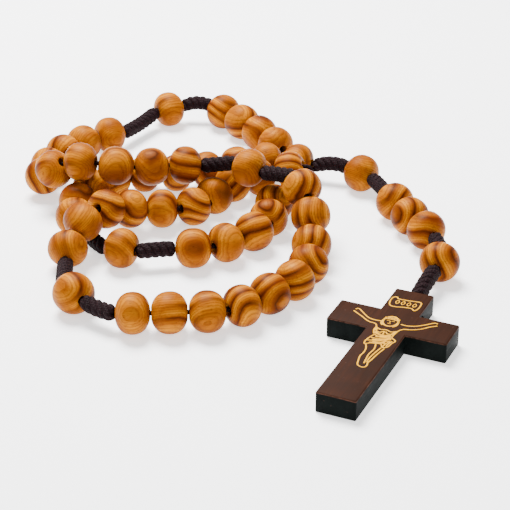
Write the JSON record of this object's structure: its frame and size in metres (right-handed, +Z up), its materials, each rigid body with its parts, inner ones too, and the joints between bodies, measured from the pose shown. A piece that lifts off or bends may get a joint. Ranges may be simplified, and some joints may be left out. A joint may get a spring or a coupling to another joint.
{
  "type": "rosary",
  "caption": "Wooden-bead cord rosary with wrapped knots and a flat printed crucifix, laid down in a loose pile.",
  "frame": {"origin": "middle of the rosary's footprint on the surface that it lies on", "axes": "+Z up from the surface, +Y away from the crucifix's foot across the loops' longest extent, +X towards the crucifix's side"},
  "size_m": [0.1117, 0.1623, 0.0192],
  "materials": {
    "bead_wood": "satin",
    "cord": "matte",
    "crucifix_wood": "satin",
    "gold_print": "satin"
  },
  "bodies": {
    "root": {"loop_cord": "cord", "loop_knots": "cord", "pinned_beads": "bead_wood"},
    "pendant_knot_1": {"pendant_knot_1": "cord"},
    "pendant_knot_2": {"pendant_knot_2": "cord"},
    "pendant_knot_3": {"pendant_knot_3": "cord"},
    "pendant_knot_4": {"pendant_knot_4": "cord"},
    "pendant_cord_1": {"pendant_cord_1": "cord"},
    "pendant_cord_2": {"pendant_cord_2": "cord"},
    "pendant_cord_3": {"pendant_cord_3": "cord"},
    "pendant_cord_4": {"pendant_cord_4": "cord"},
    "pendant_cord_5": {"pendant_cord_5": "cord"},
    "crucifix": {"crucifix": "crucifix_wood", "crucifix_print": "gold_print", "crucifix_cord": "cord"},
    "pendant_bead_1": {"pendant_bead_1": "bead_wood"},
    "pendant_bead_2": {"pendant_bead_2": "bead_wood"},
    "pendant_bead_3": {"pendant_bead_3": "bead_wood"},
    "pendant_bead_4": {"pendant_bead_4": "bead_wood"},
    "pendant_bead_5": {"pendant_bead_5": "bead_wood"},
    "decade_1_bead_3": {"decade_1_bead_3": "bead_wood"},
    "decade_1_bead_4": {"decade_1_bead_4": "bead_wood"},
    "decade_1_bead_5": {"decade_1_bead_5": "bead_wood"},
    "decade_1_bead_6": {"decade_1_bead_6": "bead_wood"},
    "decade_1_bead_7": {"decade_1_bead_7": "bead_wood"},
    "decade_1_bead_8": {"decade_1_bead_8": "bead_wood"},
    "decade_1_bead_10": {"decade_1_bead_10": "bead_wood"},
    "pater_bead_1": {"pater_bead_1": "bead_wood"},
    "decade_2_bead_1": {"decade_2_bead_1": "bead_wood"},
    "decade_2_bead_2": {"decade_2_bead_2": "bead_wood"},
    "decade_2_bead_3": {"decade_2_bead_3": "bead_wood"},
    "decade_2_bead_4": {"decade_2_bead_4": "bead_wood"},
    "decade_2_bead_5": {"decade_2_bead_5": "bead_wood"},
    "decade_2_bead_6": {"decade_2_bead_6": "bead_wood"},
    "decade_2_bead_7": {"decade_2_bead_7": "bead_wood"},
    "decade_2_bead_8": {"decade_2_bead_8": "bead_wood"},
    "decade_2_bead_9": {"decade_2_bead_9": "bead_wood"},
    "decade_2_bead_10": {"decade_2_bead_10": "bead_wood"},
    "pater_bead_2": {"pater_bead_2": "bead_wood"},
    "decade_3_bead_1": {"decade_3_bead_1": "bead_wood"},
    "decade_3_bead_2": {"decade_3_bead_2": "bead_wood"},
    "decade_3_bead_3": {"decade_3_bead_3": "bead_wood"},
    "decade_3_bead_4": {"decade_3_bead_4": "bead_wood"},
    "decade_3_bead_5": {"decade_3_bead_5": "bead_wood"},
    "decade_3_bead_6": {"decade_3_bead_6": "bead_wood"},
    "decade_3_bead_7": {"decade_3_bead_7": "bead_wood"},
    "decade_3_bead_8": {"decade_3_bead_8": "bead_wood"},
    "decade_3_bead_9": {"decade_3_bead_9": "bead_wood"},
    "decade_3_bead_10": {"decade_3_bead_10": "bead_wood"},
    "pater_bead_3": {"pater_bead_3": "bead_wood"},
    "decade_4_bead_1": {"decade_4_bead_1": "bead_wood"},
    "decade_4_bead_2": {"decade_4_bead_2": "bead_wood"},
    "decade_4_bead_3": {"decade_4_bead_3": "bead_wood"},
    "decade_4_bead_4": {"decade_4_bead_4": "bead_wood"},
    "decade_4_bead_6": {"decade_4_bead_6": "bead_wood"},
    "decade_4_bead_7": {"decade_4_bead_7": "bead_wood"},
    "decade_4_bead_8": {"decade_4_bead_8": "bead_wood"},
    "decade_4_bead_9": {"decade_4_bead_9": "bead_wood"},
    "decade_4_bead_10": {"decade_4_bead_10": "bead_wood"},
    "pater_bead_4": {"pater_bead_4": "bead_wood"}
  },
  "joints": [
    {"name": "junction_bend", "type": "hinge", "parent": "root", "child": "pendant_knot_1", "pos_m": [0.0225, 0.0385, 0.0045], "axis": [0, 0, 1], "range_deg": [-2, 10]},
    {"name": "knot_1_to_bead_1_bend", "type": "hinge", "parent": "pendant_knot_1", "child": "pendant_cord_1", "pos_m": [0.032, 0.036, 0.005], "axis": [0, 0, -1], "range_deg": [-15, 4]},
    {"name": "bead_1_to_knot_2_bend", "type": "hinge", "parent": "pendant_cord_1", "child": "pendant_knot_2", "pos_m": [0.0375, 0.0295, 0.005], "axis": [0, 0, 1], "range_deg": [-4, 15]},
    {"name": "knot_2_to_bead_2_bend", "type": "hinge", "parent": "pendant_knot_2", "child": "pendant_cord_2", "pos_m": [0.041, 0.0195, 0.005], "axis": [0, 0, -1], "range_deg": [-15, 4]},
    {"name": "bead_2_to_bead_3_bend", "type": "hinge", "parent": "pendant_cord_2", "child": "pendant_cord_3", "pos_m": [0.044, 0.011, 0.005], "axis": [0, 0, 1], "range_deg": [-4, 15]},
    {"name": "bead_3_to_bead_4_bend", "type": "hinge", "parent": "pendant_cord_3", "child": "pendant_cord_4", "pos_m": [0.0475, 0.003, 0.005], "axis": [0, 0, -1], "range_deg": [-15, 4]},
    {"name": "bead_4_to_knot_3_bend", "type": "hinge", "parent": "pendant_cord_4", "child": "pendant_knot_3", "pos_m": [0.051, -0.005, 0.005], "axis": [0, 0, 1], "range_deg": [-8, 15]},
    {"name": "knot_3_to_bead_5_bend", "type": "hinge", "parent": "pendant_knot_3", "child": "pendant_cord_5", "pos_m": [0.0525, -0.014, 0.005], "axis": [0, 0, -1], "range_deg": [-15, 8]},
    {"name": "crucifix_lift", "type": "hinge", "parent": "pendant_cord_5", "child": "pendant_knot_4", "pos_m": [0.0495, -0.022, 0.005], "axis": [-0.8895, 0.4569, 0], "range_deg": [0, 25]},
    {"name": "crucifix_swing", "type": "hinge", "parent": "pendant_knot_4", "child": "crucifix", "pos_m": [0.04411, -0.03249, 0.0026], "axis": [0, 0, 1], "range_deg": [-25, 25]},
    {"name": "pendant_bead_1_spin", "type": "hinge", "parent": "pendant_cord_1", "child": "pendant_bead_1", "pos_m": [0.03475, 0.03275, 0.005], "axis": [0.6459, -0.7634, 0], "continuous": true},
    {"name": "pendant_bead_2_spin", "type": "hinge", "parent": "pendant_cord_2", "child": "pendant_bead_2", "pos_m": [0.0425, 0.01525, 0.005], "axis": [0.3328, -0.943, 0], "continuous": true},
    {"name": "pendant_bead_3_spin", "type": "hinge", "parent": "pendant_cord_3", "child": "pendant_bead_3", "pos_m": [0.04575, 0.007, 0.005], "axis": [0.4008, -0.9162, 0], "continuous": true},
    {"name": "pendant_bead_4_spin", "type": "hinge", "parent": "pendant_cord_4", "child": "pendant_bead_4", "pos_m": [0.04925, -0.001, 0.005], "axis": [0.4008, -0.9162, 0], "continuous": true},
    {"name": "pendant_bead_5_spin", "type": "hinge", "parent": "pendant_cord_5", "child": "pendant_bead_5", "pos_m": [0.051, -0.018, 0.005], "axis": [-0.3511, -0.9363, 0], "continuous": true},
    {"name": "pater_bead_1_spin", "type": "hinge", "parent": "root", "child": "pater_bead_1", "pos_m": [-0.03675, -0.0335, 0.005], "axis": [0.5665, -0.824, 0], "continuous": true},
    {"name": "pater_bead_2_spin", "type": "hinge", "parent": "root", "child": "pater_bead_2", "pos_m": [0.0045, 0.0185, 0.01325], "axis": [-0.8124, 0.5803, 0.058], "continuous": true},
    {"name": "pater_bead_3_spin", "type": "hinge", "parent": "root", "child": "pater_bead_3", "pos_m": [-0.01925, 0.07675, 0.005], "axis": [0.8575, 0.5145, 0], "continuous": true},
    {"name": "pater_bead_4_spin", "type": "hinge", "parent": "root", "child": "pater_bead_4", "pos_m": [-0.027, -0.01075, 0.005], "axis": [-0.9162, 0.4008, 0], "continuous": true},
    {"name": "decade_1_bead_3_spin", "type": "hinge", "parent": "root", "child": "decade_1_bead_3", "pos_m": [0, 0.02625, 0.005], "axis": [-0.674, -0.7302, 0.1123], "continuous": true},
    {"name": "decade_1_bead_4_spin", "type": "hinge", "parent": "root", "child": "decade_1_bead_4", "pos_m": [-0.00475, 0.019, 0.005], "axis": [-0.3982, -0.9102, -0.1138], "continuous": true},
    {"name": "decade_1_bead_5_spin", "type": "hinge", "parent": "root", "child": "decade_1_bead_5", "pos_m": [-0.01, 0.0125, 0.005], "axis": [-0.8083, -0.5774, 0.1155], "continuous": true},
    {"name": "decade_1_bead_6_spin", "type": "hinge", "parent": "root", "child": "decade_1_bead_6", "pos_m": [-0.018, 0.01025, 0.0055], "axis": [-0.9985, 0.0555, 0], "continuous": true},
    {"name": "decade_1_bead_7_spin", "type": "hinge", "parent": "root", "child": "decade_1_bead_7", "pos_m": [-0.026, 0.00825, 0.0065], "axis": [-0.8179, -0.5258, 0.2337], "continuous": true},
    {"name": "decade_1_bead_8_spin", "type": "hinge", "parent": "root", "child": "decade_1_bead_8", "pos_m": [-0.03175, 0.0025, 0.00925], "axis": [-0.4985, -0.7754, 0.3877], "continuous": true},
    {"name": "decade_1_bead_10_spin", "type": "hinge", "parent": "root", "child": "decade_1_bead_10", "pos_m": [-0.04025, -0.0115, 0.00525], "axis": [-0.0572, -0.9147, -0.4002], "continuous": true},
    {"name": "decade_2_bead_1_spin", "type": "hinge", "parent": "root", "child": "decade_2_bead_1", "pos_m": [-0.02225, -0.043, 0.005], "axis": [1, 0, 0], "continuous": true},
    {"name": "decade_2_bead_2_spin", "type": "hinge", "parent": "root", "child": "decade_2_bead_2", "pos_m": [-0.01375, -0.04275, 0.005], "axis": [0.9983, 0.0587, 0], "continuous": true},
    {"name": "decade_2_bead_3_spin", "type": "hinge", "parent": "root", "child": "decade_2_bead_3", "pos_m": [-0.005, -0.04225, 0.005], "axis": [0.9985, 0.0555, 0], "continuous": true},
    {"name": "decade_2_bead_4_spin", "type": "hinge", "parent": "root", "child": "decade_2_bead_4", "pos_m": [0.003, -0.0395, 0.005], "axis": [0.8137, 0.5812, 0], "continuous": true},
    {"name": "decade_2_bead_5_spin", "type": "hinge", "parent": "root", "child": "decade_2_bead_5", "pos_m": [0.0095, -0.03375, 0.005], "axis": [0.6783, 0.7348, 0], "continuous": true},
    {"name": "decade_2_bead_6_spin", "type": "hinge", "parent": "root", "child": "decade_2_bead_6", "pos_m": [0.0155, -0.02725, 0.005], "axis": [0.6783, 0.7348, 0], "continuous": true},
    {"name": "decade_2_bead_7_spin", "type": "hinge", "parent": "root", "child": "decade_2_bead_7", "pos_m": [0.019, -0.01925, 0.005], "axis": [0.1047, 0.9945, 0], "continuous": true},
    {"name": "decade_2_bead_8_spin", "type": "hinge", "parent": "root", "child": "decade_2_bead_8", "pos_m": [0.02, -0.01, 0.00575], "axis": [0.1089, 0.9805, 0.1634], "continuous": true},
    {"name": "decade_2_bead_9_spin", "type": "hinge", "parent": "root", "child": "decade_2_bead_9", "pos_m": [0.02, -0.00175, 0.0095], "axis": [-0.1036, 0.7767, 0.6213], "continuous": true},
    {"name": "decade_2_bead_10_spin", "type": "hinge", "parent": "root", "child": "decade_2_bead_10", "pos_m": [0.018, 0.006, 0.0135], "axis": [-0.3419, 0.9117, 0.2279], "continuous": true},
    {"name": "decade_3_bead_1_spin", "type": "hinge", "parent": "root", "child": "decade_3_bead_1", "pos_m": [-0.01225, 0.02125, 0.01275], "axis": [-0.9966, -0.0586, 0.0586], "continuous": true},
    {"name": "decade_3_bead_2_spin", "type": "hinge", "parent": "root", "child": "decade_3_bead_2", "pos_m": [-0.021, 0.02025, 0.01275], "axis": [-0.9849, -0.1642, -0.0547], "continuous": true},
    {"name": "decade_3_bead_3_spin", "type": "hinge", "parent": "root", "child": "decade_3_bead_3", "pos_m": [-0.03025, 0.01925, 0.0135], "axis": [-0.9773, -0.0514, 0.2057], "continuous": true},
    {"name": "decade_3_bead_4_spin", "type": "hinge", "parent": "root", "child": "decade_3_bead_4", "pos_m": [-0.0395, 0.02, 0.01425], "axis": [-0.9748, 0.2166, -0.0542], "continuous": true},
    {"name": "decade_3_bead_5_spin", "type": "hinge", "parent": "root", "child": "decade_3_bead_5", "pos_m": [-0.047, 0.023, 0.01075], "axis": [-0.618, 0.412, -0.6695], "continuous": true},
    {"name": "decade_3_bead_6_spin", "type": "hinge", "parent": "root", "child": "decade_3_bead_6", "pos_m": [-0.05075, 0.0295, 0.00575], "axis": [-0.1535, 0.921, -0.3582], "continuous": true},
    {"name": "decade_3_bead_7_spin", "type": "hinge", "parent": "root", "child": "decade_3_bead_7", "pos_m": [-0.05025, 0.038, 0.005], "axis": [0.2901, 0.9284, 0.2321], "continuous": true},
    {"name": "decade_3_bead_8_spin", "type": "hinge", "parent": "root", "child": "decade_3_bead_8", "pos_m": [-0.047, 0.04575, 0.00525], "axis": [0.4634, 0.8689, -0.1738], "continuous": true},
    {"name": "decade_3_bead_9_spin", "type": "hinge", "parent": "root", "child": "decade_3_bead_9", "pos_m": [-0.042, 0.05275, 0.005], "axis": [0.674, 0.7302, 0.1123], "continuous": true},
    {"name": "decade_3_bead_10_spin", "type": "hinge", "parent": "root", "child": "decade_3_bead_10", "pos_m": [-0.03525, 0.05825, 0.005], "axis": [0.8519, 0.5112, -0.1136], "continuous": true},
    {"name": "decade_4_bead_1_spin", "type": "hinge", "parent": "root", "child": "decade_4_bead_1", "pos_m": [-0.00325, 0.075, 0.005], "axis": [0.6178, -0.7863, 0], "continuous": true},
    {"name": "decade_4_bead_2_spin", "type": "hinge", "parent": "root", "child": "decade_4_bead_2", "pos_m": [0.00225, 0.0675, 0.005], "axis": [0.5665, -0.824, 0], "continuous": true},
    {"name": "decade_4_bead_3_spin", "type": "hinge", "parent": "root", "child": "decade_4_bead_3", "pos_m": [0.00725, 0.0595, 0.005], "axis": [0.4903, -0.8716, 0], "continuous": true},
    {"name": "decade_4_bead_4_spin", "type": "hinge", "parent": "root", "child": "decade_4_bead_4", "pos_m": [0.01175, 0.0515, 0.005], "axis": [0.4903, -0.8716, 0], "continuous": true},
    {"name": "decade_4_bead_6_spin", "type": "hinge", "parent": "root", "child": "decade_4_bead_6", "pos_m": [0.011, 0.0145, 0.005], "axis": [-0.3511, -0.9363, 0], "continuous": true},
    {"name": "decade_4_bead_7_spin", "type": "hinge", "parent": "root", "child": "decade_4_bead_7", "pos_m": [0.0095, 0.006, 0.005], "axis": [0, -1, 0], "continuous": true},
    {"name": "decade_4_bead_8_spin", "type": "hinge", "parent": "root", "child": "decade_4_bead_8", "pos_m": [0.00575, -0.00175, 0.005], "axis": [-0.7557, -0.6549, 0], "continuous": true},
    {"name": "decade_4_bead_9_spin", "type": "hinge", "parent": "root", "child": "decade_4_bead_9", "pos_m": [-0.00125, -0.00775, 0.005], "axis": [-0.7634, -0.6459, 0], "continuous": true},
    {"name": "decade_4_bead_10_spin", "type": "hinge", "parent": "root", "child": "decade_4_bead_10", "pos_m": [-0.00925, -0.01075, 0.005], "axis": [-0.9986, -0.0526, 0], "continuous": true}
  ]
}
